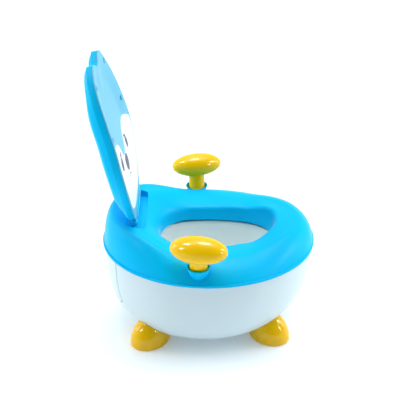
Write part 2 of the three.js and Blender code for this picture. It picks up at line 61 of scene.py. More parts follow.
TUB = dict(x=146.6, y=171.6, top=151.0, bottom=14.0, floor_scale=0.62, shift=7.0, bulge=2.6)
WALL = 2.6
GRIP = dict(x=130.0, y=18.0, z=175.5, lean=17.0, toe_out=11.3, pitch=3.5, rise=37.6, long=44.0,
            wide=22.0, high=20.5, stem=14.0, socket_fit=0.45, socket_top=-12.0, stem_low=-10.8,
            stem_top=-12.4, stem_edge=0.6)
HINGE = dict(y=118.0, z=208.0, r=5.0, barrel=44.0, ear_in=44.6, ear_out=57.0, ear_front=1.0, bore_r=2.7,
             bore_end=58.2, cap_r=4.0, cap_end=59.2, room=0.8, room_side=3.0)
POCKET = dict(x=62.0, front=101.0, rear=130.0, floor=192.0, corner=6.5, liner_corner=9.0)
LID = dict(y=114.3, z=212.0, tilt=math.radians(12.25), bulge=8.8, bulge_length=238.0, edge=15.0,
           crown=36.5, crown_end=265.0, crown_run=90.0, neck=15.0, neck_run=60.0, front=2.2, lip=2.4,
           recess=0.5, edge_r=1.2, seam=0.4, dish=7.0, dish_rise=118.0, dish_edge=0.35)
LID_HALF = [(0, 0), (30, 0), (50, 0.5), (59, 6), (66, 18), (75, 33), (86, 55), (96.5, 80), (102, 106),
            (101.5, 124), (97, 146), (93.5, 168), (87, 192), (77, 216), (62, 237), (45, 251), (33, 254),
            (21, 250.5), (11, 244.5), (0, 243)]
LID_MIDDLE = (0.0, 118.0)
FLANGE = dict(low=144.0, top=147.0, inwards=1.0, hole=0.87)
DRAWER = dict(x=73.0, low=62.0, high=147.0, gap=2.0, corner=12.0, slot_x=30.0, slot_z=126.0, slot_r=8.0,
              begin=60.0, end=240.0)
BOWL = dict(x=70.0, front=118.0, rear=94.0, top=140.2, flange=3.0, lip=4.0, bottom=73.0, scale=0.62,
            bulge=2.4, wall=2.2, floor=2.4)
FOOT = dict(rear_x=85.0, rear_y=98.0, front_x=76.0, front_y=101.0, long=35.0, wide=29.0, high=46.0,
            under=1.0, pad_r=13.0, pad_high=2.6, fit=0.35)
# Each bumper pair: across and along the lid, and how far its dome stays below the face.
BUMPERS = {"upper": (60.0, 228.5, 0.5), "lower": (84.0, 154.0, 1.1)}
BUMPER_R = 5.0
ABOVE_ALL = 240.0
SIDES = {"left": -1, "right": 1}


def to_frame(points):
    return (np.asarray(points, float) - [0.0, RIM_SHIFT, 0.0]) * 0.001


def smooth(t):
    t = np.clip(t, 0.0, 1.0)
    return t * t * (3 - 2 * t)


def power(v, n):
    return np.sign(v) * np.abs(v) ** (2 / n)


# ---------------------------------------------------------------- meshes
def new_object(name, mesh):
    obj = bpy.data.objects.new(name, mesh)
    bpy.context.scene.collection.objects.link(obj)
    return obj


def mesh_object(name, points, faces):
    mesh = bpy.data.meshes.new(name)
    mesh.from_pydata([tuple(p) for p in to_frame(points)], [], faces)
    bm = bmesh.new()
    bm.from_mesh(mesh)
    bmesh.ops.remove_doubles(bm, verts=bm.verts, dist=1e-6)
    bmesh.ops.recalc_face_normals(bm, faces=bm.faces)
    bm.to_mesh(mesh)
    bm.free()
    return new_object(name, mesh)


def loft(name, rows, loop=False):
    """A closed solid from rows of points. Each row closes on itself; the ends get a fan, or meet."""
    rows = [np.asarray(r, float) for r in rows]
    n = len(rows[0])
    points = np.concatenate(rows)
    faces = []
    count = len(rows)
    for r in range(count if loop else count - 1):
        a, b = r * n, ((r + 1) % count) * n
        faces += [(a + i, a + (i + 1) % n, b + (i + 1) % n, b + i) for i in range(n)]
    if not loop:
        for r in (0, count - 1):
            middle = len(points)
            points = np.vstack([points, rows[r].mean(0)])
            faces += [(middle, r * n + i, r * n + (i + 1) % n) for i in range(n)]
    return mesh_object(name, points, faces)


def apply_modifiers(obj):
    graph = bpy.context.evaluated_depsgraph_get()
    mesh = bpy.data.meshes.new_from_object(obj.evaluated_get(graph))
    obj.modifiers.clear()
    old = obj.data
    obj.data = mesh
    bpy.data.meshes.remove(old)
    return obj


def boolean(target, operation, *others, keep=()):
    for other in others:
        m = target.modifiers.new("boolean", "BOOLEAN")
        m.operation = operation
        m.solver = "EXACT"
        m.object = other
        apply_modifiers(target)
        if other not in keep:
            bpy.data.objects.remove(other)
    return target


def rounded_rectangle(x0, x1, y0, y1, r, steps=10):
    """Outline points of a rectangle with round corners."""
    points = []
    corners = ((x1 - r, y1 - r, 0), (x0 + r, y1 - r, 90), (x0 + r, y0 + r, 180), (x1 - r, y0 + r, 270))
    for cx, cy, start in corners:
        for k in range(steps + 1):
            a = math.radians(start + 90 * k / steps)
            points.append((cx + r * math.cos(a), cy + r * math.sin(a)))
    return np.array(points)


def prism_z(name, plan, z0, z1):
    return loft(name, [np.column_stack([plan, np.full(len(plan), z)]) for z in (z0, z1)])


def prism_y(name, face, y0, y1):
    """A prism along Y from an outline given as (x, z)."""
    return loft(name, [np.column_stack([face[:, 0], np.full(len(face), y), face[:, 1]]) for y in (y0, y1)])


def lathe(name, profile, sides=48, matrix=None):
    """A closed solid of revolution about Z from (radius, z) points, which start and end on the axis."""
    a = np.linspace(0, 2 * math.pi, sides, endpoint=False)
    rows = [np.column_stack([r * np.cos(a), r * np.sin(a), np.full(sides, z)]) for r, z in profile]
    if matrix is not None:
        rows = [np.array([matrix @ Vector(p) for p in row]) for row in rows]
    return loft(name, rows)


def rod(name, r, low, high, matrix=None, sides=48):
    return lathe(name, [(r, low), (r, high)], sides, matrix)


def at(x, y, z=0.0):
    return Matrix.Translation((x, y, z))


def along_x(y, z):
    return at(0, y, z) @ Matrix.Rotation(math.pi / 2, 4, "Y")


def bevel_by_angle(obj, width, angle=40, segments=2):
    """Rounds every edge sharper than the angle."""
    m = obj.modifiers.new("bevel", "BEVEL")
    m.width = width * 0.001
    m.segments = segments
    m.limit_method = "ANGLE"
    m.angle_limit = math.radians(angle)
    m.use_clamp_overlap = True
    return apply_modifiers(obj)


def finish_shading(obj, angle=35):
    obj.data.shade_smooth()
    obj.data.set_sharp_from_angle(angle=math.radians(angle))


# ---------------------------------------------------------------- materials
def linear(r, g, b):
    def one(c):
        c /= 255
        return c / 12.92 if c <= 0.04045 else ((c + 0.055) / 1.055) ** 2.4
    return (one(r), one(g), one(b), 1.0)


DRIFT_SCALE = 9.0
WEAR_SCALE = 60.0
GRAIN_SCALE = 900.0
GRAIN_DEPTH = 0.0004
SHEEN_ROUGHNESS = 0.2


def plastic(name, colour, second, roughness, rough_span=0.05, grain=0.02, specular=0.5, sheen=0.0):
    """Moulded plastic: a slow drift between two close colours, uneven gloss and a fine skin."""
    mat = bpy.data.materials.new(name)
    mat.use_nodes = True
    tree = mat.node_tree
    nodes, links = tree.nodes, tree.links
    bsdf = nodes["Principled BSDF"]
    place = nodes.new("ShaderNodeTexCoord")

    drift = nodes.new("ShaderNodeTexNoise")
    drift.inputs["Scale"].default_value = DRIFT_SCALE
    drift.inputs["Detail"].default_value = 2.0
    links.new(place.outputs["Object"], drift.inputs["Vector"])
    blend = nodes.new("ShaderNodeMix")
    blend.data_type = "RGBA"
    blend.inputs[6].default_value = colour
    blend.inputs[7].default_value = second
    links.new(drift.outputs["Fac"], blend.inputs[0])
    links.new(blend.outputs[2], bsdf.inputs["Base Color"])

    wear = nodes.new("ShaderNodeTexNoise")
    wear.inputs["Scale"].default_value = WEAR_SCALE
    wear.inputs["Detail"].default_value = 4.0
    links.new(place.outputs["Object"], wear.inputs["Vector"])
    span = nodes.new("ShaderNodeMapRange")
    span.inputs["To Min"].default_value = roughness - rough_span / 2
    span.inputs["To Max"].default_value = roughness + rough_span / 2
    links.new(wear.outputs["Fac"], span.inputs["Value"])
    links.new(span.outputs["Result"], bsdf.inputs["Roughness"])

    skin = nodes.new("ShaderNodeTexNoise")
    skin.inputs["Scale"].default_value = GRAIN_SCALE
    skin.inputs["Detail"].default_value = 2.0
    links.new(place.outputs["Object"], skin.inputs["Vector"])
    bump = nodes.new("ShaderNodeBump")
    bump.inputs["Strength"].default_value = grain
    bump.inputs["Distance"].default_value = GRAIN_DEPTH
    links.new(skin.outputs["Fac"], bump.inputs["Height"])
    links.new(bump.outputs["Normal"], bsdf.inputs["Normal"])

    bsdf.inputs["Specular IOR Level"].default_value = specular
    bsdf.inputs["Sheen Weight"].default_value = sheen
    bsdf.inputs["Sheen Roughness"].default_value = SHEEN_ROUGHNESS
    return mat


def steel(name):
    """Zinc-plated steel with fine turning marks."""
    mat = plastic(name, linear(196, 198, 200), linear(170, 173, 178), 0.32, 0.12, 0.05)
    mat.node_tree.nodes["Principled BSDF"].inputs["Metallic"].default_value = 1.0
    return mat


BLUE = plastic("blue_plastic", linear(0, 198, 252), linear(0, 192, 248), 0.38, 0.06, grain=0.05,
               specular=0.05, sheen=0.45)
PANEL_BLUE = plastic("pale_blue_panel", linear(104, 194, 226), linear(98, 190, 222), 0.42, 0.06, grain=0.04,
                     specular=0.3)
WHITE = plastic("white_plastic", linear(218, 234, 240), linear(214, 231, 237), 0.4, 0.06, grain=0.05,
                specular=0.4)
BOWL_WHITE = plastic("bowl_plastic", linear(246, 250, 246), linear(241, 246, 241), 0.42, 0.06, grain=0.04)
YELLOW = plastic("yellow_plastic", linear(255, 206, 0), linear(252, 200, 0), 0.16, 0.03, grain=0.01,
                 specular=0.28)
FOOT_YELLOW = plastic("foot_yellow_plastic", linear(255, 202, 0), linear(252, 197, 0), 0.15, 0.03, grain=0.01,
                      specular=0.35)
TEAL = plastic("bumper_rubber", linear(0, 150, 205), linear(0, 142, 196), 0.6, 0.1, grain=0.1)
RUBBER = plastic("pad_rubber", linear(150, 155, 160), linear(138, 143, 148), 0.8, 0.1, grain=0.3)
MASK_WHITE = plastic("mask_print", linear(250, 253, 254), linear(247, 251, 253), 0.42, 0.05, grain=0.03)
SLATE = plastic("slate_print", linear(44, 62, 100), linear(41, 58, 95), 0.45, 0.05, grain=0.03)
STEEL = steel("screw_steel")
SLOT_MATERIAL = {"shell_blue": BLUE, "panel_blue": PANEL_BLUE, "tub_white": WHITE, "bowl_white": BOWL_WHITE,
                 "grip_yellow": YELLOW, "foot_yellow": FOOT_YELLOW, "bumper_teal": TEAL, "pad_rubber": RUBBER,
                 "screw_steel": STEEL}


def piece(obj, body, slot, material, *nodes, angle=35):
    """Gives a finished object its material and its body, and hides the CAD nodes it stands for. The slot it
    is given is not used.
    """
    obj.data.materials.clear()
    obj.data.materials.append(material)
    finish_shading(obj, angle)
    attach(obj, body)
    if nodes:
        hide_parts(*nodes)
    return obj


# ---------------------------------------------------------------- seat
SEAT_SEGMENTS = 288
SKIN_ROWS = 84
SKIN_ROUNDS = 10
EDGE_ROUND = 7.0
EDGE_ROWS = 6
FOOT_OF_WALL = 0.97
SLOPE_POWER = 1.35
ANGLES = np.linspace(0, 2 * math.pi, SEAT_SEGMENTS, endpoint=False)
COS, SIN = np.cos(ANGLES), np.sin(ANGLES)


def crest_height(y):
    rear = smooth((y - CREST["rear_from"]) / CREST["rear_run"])
    front = smooth((-CREST["front_from"] - y) / CREST["front_run"])
    side = CREST["side"]
    return side + (CREST["rear"] - side) * rear + (CREST["front"] - side) * front


def crest_row(crest):
    behind = SIN > 0
    n = np.where(behind, crest["power"], CREST["front_power"])
    reach = np.where(behind, crest["rear"] - crest["centre"], crest["front"] + crest["centre"])
    y = crest["centre"] + reach * power(SIN, n)
    return np.column_stack([crest["x"] * power(COS, n), y, crest_height(y)])


def opening_row(scale=1.0):
    behind = SIN > 0
    n = np.where(behind, OPENING["power"], OPENING["front_power"])
    reach = np.where(behind, OPENING["rear"], OPENING["front"])
    y = OPENING["centre"] + scale * reach * power(SIN, n)
    z = OPENING["z"] + sum(high * smooth((-begin - y) / run) for high, begin, run in OPENING_RISES)
    return np.column_stack([scale * OPENING["x"] * power(COS, n), y, z])


def rim_row(drop, z):
    return np.column_stack([(RIM["x"] - drop) * COS, (RIM["y"] - drop) * SIN, np.full(SEAT_SEGMENTS, z)])


def even_rows(rows, count, rounds):
    """The same profile with evenly spaced rows and softened corners. Its ends stay where they are."""
    stack = np.stack(rows)
    step = np.linalg.norm(np.diff(stack, axis=0), axis=2)
    place = np.vstack([np.zeros(stack.shape[1]), np.cumsum(step, axis=0)])
    out = np.zeros((count, stack.shape[1], 3))
    for i in range(stack.shape[1]):
        target = np.linspace(0, place[-1, i], count)
        for k in range(3):
            out[:, i, k] = np.interp(target, place[:, i], stack[:, i, k])
    for _ in range(rounds):
        out[1:-1] = (out[:-2] + 2 * out[1:-1] + out[2:]) / 4
    return list(out)


def seat_rows():
    """The seat's profile all round: the bead at the rim, over the crest, down to the opening's foot."""
    step_z = RIM["z"] + RIM["bead"] + 0.6
    start = rim_row(RIM["step"], step_z)
    outer, inner = crest_row(OUTER_CREST), crest_row(INNER_CREST)
    edge, foot = opening_row(), opening_row(FOOT_OF_WALL)
    skin = [start]
    roundness = WALL_ROUND["side"] + (WALL_ROUND["end"] - WALL_ROUND["side"]) * SIN ** 2
    for t in np.linspace(0, 1, 25)[1:]:
        a = t * math.pi / 2
        inwards = roundness * (1 - math.cos(a)) + (1 - roundness) * t
        lift = 1 - (1 - t) ** (1 + WALL_ROUND["lift"] * SIN ** 2)
        up = roundness * math.sin(a) + (1 - roundness) * lift
        xy = start[:, :2] + (outer[:, :2] - start[:, :2]) * inwards[:, None]
        skin.append(np.column_stack([xy, start[:, 2] + (outer[:, 2] - start[:, 2]) * up]))
    skin += [outer + (inner - outer) * t for t in (0.25, 0.5, 0.75, 1.0)]
    for t in np.linspace(0, 1, 16)[1:]:
        xy = inner[:, :2] + (edge[:, :2] - inner[:, :2]) * t
        skin.append(np.column_stack([xy, inner[:, 2] + (edge[:, 2] - inner[:, 2]) * t ** SLOPE_POWER]))
    skin = even_rows(skin, SKIN_ROWS, SKIN_ROUNDS)
    wall_top = edge + (foot - edge) * 0.3
    wall_top[:, 2] = edge[:, 2] - EDGE_ROUND
    corner, before = skin[-1], skin[-1 - EDGE_ROWS]
    fillet = [(1 - t) ** 2 * before + 2 * t * (1 - t) * corner + t * t * wall_top
              for t in np.linspace(0, 1, 11)]
    bottom = foot.copy()
    bottom[:, 2] = OPENING["bottom"]
    bead = [rim_row(0.5, RIM["z"]), rim_row(0, RIM["z"] + 0.6), rim_row(0, RIM["z"] + RIM["bead"] - 0.5),
            rim_row(0.4, RIM["z"] + RIM["bead"]), rim_row(RIM["step"], RIM["z"] + RIM["bead"] + 0.15)]
    wall = [wall_top + (bottom - wall_top) * t for t in (0.4, 0.8, 1.0)]
    return bead + skin[:-1 - EDGE_ROWS] + fillet + wall


def inset_rows(rows, distance):
    """Rows moved along the surface normal."""
    stack = np.stack(rows)
    across = np.roll(stack, -1, axis=1) - np.roll(stack, 1, axis=1)
    along = np.empty_like(stack)
    along[1:-1] = stack[2:] - stack[:-2]
    along[0], along[-1] = stack[1] - stack[0], stack[-1] - stack[-2]
    normal = np.cross(across, along)
    normal /= np.linalg.norm(normal, axis=2, keepdims=True) + 1e-12
    return list(stack + normal * distance)


def grip_frame(side):
    """The leaning frame of a grip's stem, with its origin at the top of its collar."""
    lean = Matrix.Rotation(math.radians(GRIP["lean"]) * side, 4, "Y")
    return at(side * GRIP["x"], GRIP["y"], GRIP["z"]) @ lean


# Profiles of (radius, height): the upright collar and its mouth, and the leaning bore for the stem.
COLLAR = [(9.5, -26), (12.0, -18), (14.6, -11), (17.0, -5), (19.0, -0.6), (19.3, 0.2), (19.1, 0.8),
          (18.4, 1.1), (17.6, 1.0)]
COLLAR_BORE = [(15.8, -5), (15.8, -0.6), (16.1, 0.2), (16.7, 0.8), (17.6, 1.2), (17.6, 7)]
STEM_BORE = [(14.9, -11), (14.9, 4)]


def pocket_block(name, grow, corner, floor):
    """The recess behind the opening that holds the hinge, grown outwards."""
    p = POCKET
    plan = rounded_rectangle(-p["x"] - grow, p["x"] + grow, p["front"] - grow, p["rear"] + grow, corner)
    return prism_z(name, plan, floor, ABOVE_ALL)


def make_seat():
    rows = seat_rows()
    volume = loft("seat_volume", rows, loop=True)
    # The inside follows every third row above the bead, and runs out below the rim, so it is open there.
    inner = inset_rows(rows[5:-1:3], -WALL)
    low_outer, low_inner = inner[0].copy(), inner[-1].copy()
    low_outer[:, 2], low_inner[:, 2] = RIM["z"] - 8, RIM["z"] - 12
    hollow = loft("seat_hollow", [low_outer, *inner, low_inner], loop=True)
    floor = POCKET["floor"]
    boolean(hollow, "DIFFERENCE", pocket_block("liner", WALL, POCKET["liner_corner"], floor - WALL))
    seat = boolean(volume, "DIFFERENCE", hollow)
    seat.name = "seat"
    boolean(seat, "DIFFERENCE", pocket_block("pocket", 0.0, POCKET["corner"], floor))
    h = HINGE
    axis = along_x(h["y"], h["z"])
    for side in (1, -1):
        x0, x1 = sorted((side * h["ear_in"], side * h["ear_out"]))
        cap = sorted((side * (h["ear_out"] - 1), side * h["cap_end"]))
        bore = sorted((side * (h["ear_in"] - 1), side * h["bore_end"]))
        plan = rounded_rectangle(x0, x1, h["y"] - h["ear_front"], h["y"] + h["r"], 0.8, 3)
        boolean(seat, "UNION", prism_z("ear", plan, floor - 1, h["z"]))
        boolean(seat, "UNION", rod("eye", h["r"], x0, x1, axis))
        boolean(seat, "UNION", rod("cap", h["cap_r"], *cap, axis))
        boolean(seat, "DIFFERENCE", rod("bore", h["bore_r"], *bore, axis, 24))
        upright = at(side * GRIP["x"], GRIP["y"], GRIP["z"])
        boolean(seat, "UNION", lathe("collar", COLLAR, 64, upright))
        boolean(seat, "DIFFERENCE", lathe("collar_bore", COLLAR_BORE, 64, upright))
        boolean(seat, "DIFFERENCE", lathe("stem_bore", STEM_BORE, 64, grip_frame(side)))
    return piece(seat, "chair", "shell_blue", BLUE, "seat_shell")


# ---------------------------------------------------------------- tub and drawer
def tub_ring(z, inwards=0.0):
    """The tub's outline at a height."""
    t = min(1.0, max(0.0, (RIM["z"] - z) / (RIM["z"] - TUB["bottom"])))
    scale = TUB["floor_scale"] + (1 - TUB["floor_scale"]) * (1 - t ** TUB["bulge"]) ** 0.5
    return np.column_stack([(TUB["x"] * scale - inwards) * COS,
                            (TUB["y"] * scale - inwards) * SIN + TUB["shift"] * t * t,
                            np.full(SEAT_SEGMENTS, z)])


def tub_solid(name, inwards, top):
    """The tub as a solid, offset inwards, with its levels closer together near the bottom."""
    depth = RIM["z"] - TUB["bottom"]
    levels = [1 - (1 - k / 46) ** 2.2 for k in range(47)]
    rows = [tub_ring(RIM["z"] - t * depth) for t in levels]
    upper = tub_ring(RIM["z"])
    upper[:, 2] = top
    rows = inset_rows([upper, *rows], inwards)
    rows[0][:, 2] = top
    rows[-1][:, 2] = TUB["bottom"] + inwards
    rows += [rows[-1] * [s, s, 1] + [0, TUB["shift"] * (1 - s), 0] for s in (0.7, 0.35)]
    return loft(name, rows)


def drawer_face(shrink):
    """The doorway in the tub's rear, or the drawer's panel when it is shrunk by the gap."""
    d = DRAWER
    return rounded_rectangle(-d["x"] + shrink, d["x"] - shrink, d["low"] + shrink,
                             200 if shrink == 0 else d["high"] + 40, d["corner"] - shrink)


def finger_slot():
    d = DRAWER
    face = rounded_rectangle(-d["slot_x"], d["slot_x"], d["slot_z"] - d["slot_r"], d["slot_z"] + d["slot_r"],
                             d["slot_r"] - 0.1)
    return prism_y("finger_slot", face, 105, 225)


def make_tub():
    outer = tub_solid("tub", 0.0, TUB["top"])
    inner = tub_solid("tub_inner", WALL, TUB["top"] + 20)
    begin, end = DRAWER["begin"], DRAWER["end"]
    drawer = prism_y("drawer_panel", drawer_face(DRAWER["gap"]), begin, end)
    top_cut = prism_z("top_cut", rounded_rectangle(-200, 200, -240, 260, 5, 2), DRAWER["high"], 300)
    boolean(drawer, "INTERSECT", outer, keep=[outer])
    boolean(drawer, "DIFFERENCE", inner, top_cut, finger_slot(), keep=[inner])
    tub = boolean(outer, "DIFFERENCE", inner)
    f = FLANGE
    ring = tub_ring(f["low"], f["inwards"]) * [1, 1, 0]
    flange = loft("flange", [ring + [0, 0, z] for z in (f["low"], f["top"])])
    hole = loft("flange_hole", [np.column_stack([TUB["x"] * f["hole"] * COS, TUB["y"] * f["hole"] * SIN,
                                                 np.full(SEAT_SEGMENTS, z)])
                                for z in (f["low"] - 14, f["top"] + 13)])
    boolean(flange, "DIFFERENCE", hole)
    boolean(tub, "UNION", flange)
    boolean(tub, "DIFFERENCE", prism_y("doorway", drawer_face(0.0), begin, end))
    bevel_by_angle(drawer, 0.5, 50)
    piece(tub, "chair", "tub_white", WHITE, "tub_shell")
    piece(drawer, "drawer", "tub_white", WHITE, "drawer_panel")


def plan_outline(half_width, front, rear, squareness, steps=160):
    a = np.linspace(0, 2 * math.pi, steps, endpoint=False)
    c, s = np.cos(a), np.sin(a)
    n = np.where(s > 0, squareness, 2.2)
    return np.column_stack([half_width * power(c, n), np.where(s > 0, rear, front) * power(s, n)])


def make_bowl():
    b = BOWL

    def ring(inwards, z, shrink=1.0):
        plan = plan_outline((b["x"] - inwards) * shrink, (b["front"] - inwards) * shrink,
                            (b["rear"] - inwards) * shrink, 2.6)
        return np.column_stack([plan, np.full(len(plan), z)])

    under = b["top"] - b["flange"]

    def wall(inwards, low):
        for t in [1 - (1 - k / 26) ** 2 for k in range(27)]:
            shrink = b["scale"] + (1 - b["scale"]) * (1 - t ** b["bulge"]) ** 0.5
            yield ring(inwards, under + (low - under) * t, shrink)

    half = [0.5, 0.5, 1]
    outside = [ring(0.6, b["top"]), ring(0, b["top"] - 0.6), ring(0, under + 0.5), ring(0.5, under)]
    outside += list(wall(b["lip"], b["bottom"]))
    outside.append(outside[-1] * half)
    inside = list(wall(b["lip"] + b["wall"], b["bottom"] + b["floor"]))
    inside.append(inside[-1] * half)
    lip = [ring(b["lip"] + 1.0, b["top"]), ring(b["lip"] + 1.8, b["top"] - 0.8)]
    rows = outside[::-1] + lip + inside[1:]
    piece(loft("waste_bowl_inner", rows), "drawer", "bowl_white", BOWL_WHITE, "waste_bowl", angle=50)


# ---------------------------------------------------------------- feet
def foot_profile():
    """An upright half egg of unit radius with a small edge at its underside."""
    low, high = FOOT["under"] + 0.9, FOOT["high"]
    angles = [math.pi / 2 * (1 - k / 40) for k in range(41)]
    profile = [(math.cos(a), math.sin(a) * high) for a in angles if math.sin(a) * high > low]
    r_low = math.sqrt(1 - (low / high) ** 2)
    profile += [(r_low, low), (r_low - 0.008, FOOT["under"] + 0.25), (r_low - 0.03, FOOT["under"])]
    return profile[1:]


def make_feet():
    around = tub_solid("tub_around", -FOOT["fit"], TUB["top"])
    scale = Matrix.Diagonal((FOOT["long"], FOOT["wide"], 1, 1))
    r, high, fit = FOOT["pad_r"], FOOT["pad_high"], FOOT["fit"]
    pad_profile = [(r - 0.8, 0), (r - 0.25, 0.2), (r, 0.8), (r, high)]
    ends = {"front": (FOOT["front_x"], -FOOT["front_y"]), "rear": (FOOT["rear_x"], FOOT["rear_y"])}
    for end, (x, y) in ends.items():
        for side_name, side in SIDES.items():
            name, place = f"{end}_{side_name}", at(side * x, y)
            turn = Matrix.Rotation(math.atan2(y, side * x), 4, "Z")
            foot = lathe(f"foot_{name}_shell", foot_profile(), 96, place @ turn @ scale)
            boolean(foot, "DIFFERENCE", around, keep=[around])
            boolean(foot, "DIFFERENCE", rod("recess", r + fit, -1, high + fit, place))
            piece(foot, "chair", "foot_yellow", FOOT_YELLOW, f"foot_{name}")
            pad = lathe(f"pad_{name}", pad_profile, 64, place)
            piece(pad, "chair", "pad_rubber", RUBBER, f"foot_pad_{name}")
    bpy.data.objects.remove(around)


# ---------------------------------------------------------------- grips
def make_grips():
    r, rise, edge = GRIP["stem"], GRIP["rise"], GRIP["stem_edge"]
    low, top = GRIP["stem_low"], rise + GRIP["stem_top"]
    pitch = Matrix.Rotation(-math.radians(GRIP["pitch"]), 4, "X")
    lying = Matrix.Rotation(math.pi / 2, 4, "X")
    scale = Matrix.Diagonal((GRIP["wide"], GRIP["high"], 1, 1))
    egg = [(math.sin(a), -math.cos(a) * GRIP["long"]) for a in np.linspace(0, math.pi, 65)[1:-1]]
    for name, side in SIDES.items():
        place = grip_frame(side)
        turn = Matrix.Rotation(math.radians(GRIP["toe_out"]) * side, 4, "Z")
        knob = lathe(f"grip_{name}_knob", egg, 96, place @ at(0, 0, rise) @ turn @ pitch @ lying @ scale)
        socket = rod("socket", r + GRIP["socket_fit"], -20, rise + GRIP["socket_top"], place, 64)
        boolean(knob, "DIFFERENCE", socket)
        piece(knob, "chair", "grip_yellow", YELLOW, f"grip_{name}")
        stem = lathe(f"grip_{name}_stem",
                     [(r - edge, low), (r, low + edge), (r, top - edge), (r - edge, top)], 64, place)
        piece(stem, "chair", "grip_yellow", YELLOW, f"grip_stem_{name}")


# ---------------------------------------------------------------- lid
def catmull_rom(points, per_span=14):
    """A closed centripetal Catmull-Rom curve through the points."""
    p = np.asarray(points, float)
    n = len(p)
    out = []
    for i in range(n):
        p0, p1, p2, p3 = p[i - 1], p[i], p[(i + 1) % n], p[(i + 2) % n]
        t0 = 0.0
        t1 = t0 + np.linalg.norm(p1 - p0) ** 0.5
        t2 = t1 + np.linalg.norm(p2 - p1) ** 0.5
        t3 = t2 + np.linalg.norm(p3 - p2) ** 0.5
        for t in np.linspace(t1, t2, per_span, endpoint=False):
            a1 = (t1 - t) / (t1 - t0) * p0 + (t - t0) / (t1 - t0) * p1
            a2 = (t2 - t) / (t2 - t1) * p1 + (t - t1) / (t2 - t1) * p2
            a3 = (t3 - t) / (t3 - t2) * p2 + (t - t2) / (t3 - t2) * p3
            b1 = (t2 - t) / (t2 - t0) * a1 + (t - t0) / (t2 - t0) * a2
            b2 = (t3 - t) / (t3 - t1) * a2 + (t - t1) / (t3 - t1) * a3
            out.append((t2 - t) / (t2 - t1) * b1 + (t - t1) / (t2 - t1) * b2)
    return np.array(out)


def even_outline(points, count):
    """A closed outline with evenly spaced points."""
    closed = np.vstack([points, points[:1]])
    place = np.concatenate([[0], np.cumsum(np.linalg.norm(np.diff(closed, axis=0), axis=1))])
    target = np.linspace(0, place[-1], count, endpoint=False)
    return np.column_stack([np.interp(target, place, closed[:, k]) for k in range(2)])


def mirrored(half):
    """A closed outline from its right half, which starts and ends on the middle line."""
    return list(half) + [(-u, v) for u, v in half[-2:0:-1]]


def lid_curve(v):
    """How far the whole lid bulges to the front along its length."""
    wave = np.sin(math.pi * np.clip(np.asarray(v, float) / LID["bulge_length"], 0, 1))
    return LID["bulge"] * np.clip(wave, 0, None) ** 1.2


def lid_points(uv, h):
    """From the lid's coordinates (across, along, out of the front) to the chair's."""
    uv = np.asarray(uv, float)
    c, s = math.cos(LID["tilt"]), math.sin(LID["tilt"])
    out = h + lid_curve(uv[:, 1])
    return np.column_stack([uv[:, 0], LID["y"] + uv[:, 1] * s - out * c, LID["z"] + uv[:, 1] * c + out * s])


LID_OUTLINE = even_outline(catmull_rom(mirrored(LID_HALF)), 320)


def shrunk(outline, inwards):
    """A closed outline moved inwards along its normals."""
    ahead, back = np.roll(outline, -1, axis=0), np.roll(outline, 1, axis=0)
    d = ahead - back
    d /= np.linalg.norm(d, axis=1, keepdims=True)
    return outline + np.column_stack([-d[:, 1], d[:, 0]]) * inwards


def to_middle(outline, t):
    return outline + (np.array(LID_MIDDLE) - outline) * t


def lid_depth(v, t):
    """The lid's depth at a place along it and a share of the way from its edge to its middle."""
    neck = smooth(v / LID["neck_run"])
    edge = LID["neck"] + (LID["edge"] - LID["neck"] + 1) * neck
    crown = (LID["crown"] - LID["edge"]) * neck * math.sqrt(1 - (1 - t) ** 2)
    return edge + crown * smooth((LID["crown_end"] - v) / LID["crown_run"])


def panel_edge(angle):
    """Distance from the middle of the lid to the edge of its panel, in a direction."""
    ring = shrunk(LID_OUTLINE, LID["lip"]) - LID_MIDDLE
    around = np.arctan2(ring[:, 1], ring[:, 0])
    order = np.argsort(around)
    return np.interp(angle, around[order], np.hypot(ring[order, 0], ring[order, 1]), period=2 * math.pi)


def dish(uv):
    """How far the printed panel is dished, at points on the lid."""
    uv = np.asarray(uv, float)
    d = uv - LID_MIDDLE
    share = 1 - np.hypot(d[:, 0], d[:, 1]) / panel_edge(np.arctan2(d[:, 1], d[:, 0]))
    return LID["dish"] * smooth(uv[:, 1] / LID["dish_rise"]) * smooth(share / LID["dish_edge"])


def panel_points(uv, h):
    """Points above or below the printed panel."""
    return lid_points(uv, h - LID["recess"] - dish(uv))


def ear_rooms():
    """The room in the lid round the seat's two ears."""
    h = HINGE
    end = h["ear_out"] + h["room_side"]
    for x0, x1 in ((h["barrel"], end), (-end, -h["barrel"])):
        yield rod("room", h["r"] + h["room"], x0, x1, along_x(h["y"], h["z"]))


def lid_web(grow):
    """The block that joins the lid to its hinge barrel."""
    h = HINGE
    x, deep = h["barrel"] + grow, h["r"] + grow
    plan = rounded_rectangle(-x, x, h["y"] - deep, h["y"] + deep, 0.4, 2)
    return prism_z("web", plan, h["z"], LID["z"] + 2.2 + grow)


# Shares of the way from the edge to the middle at which the lid's surfaces have a row.
PANEL_STEPS = (0.02, 0.04, 0.06, 0.09, 0.12, 0.15, 0.18, 0.21, 0.24, 0.27, 0.3, 0.33, 0.36, 0.45, 0.6,
               0.75, 0.9)
SHELL_STEPS = (0, 0.004, 0.012, 0.025, 0.045, 0.07, 0.1, 0.14, 0.2, 0.27, 0.35, 0.45, 0.56, 0.7, 0.85)


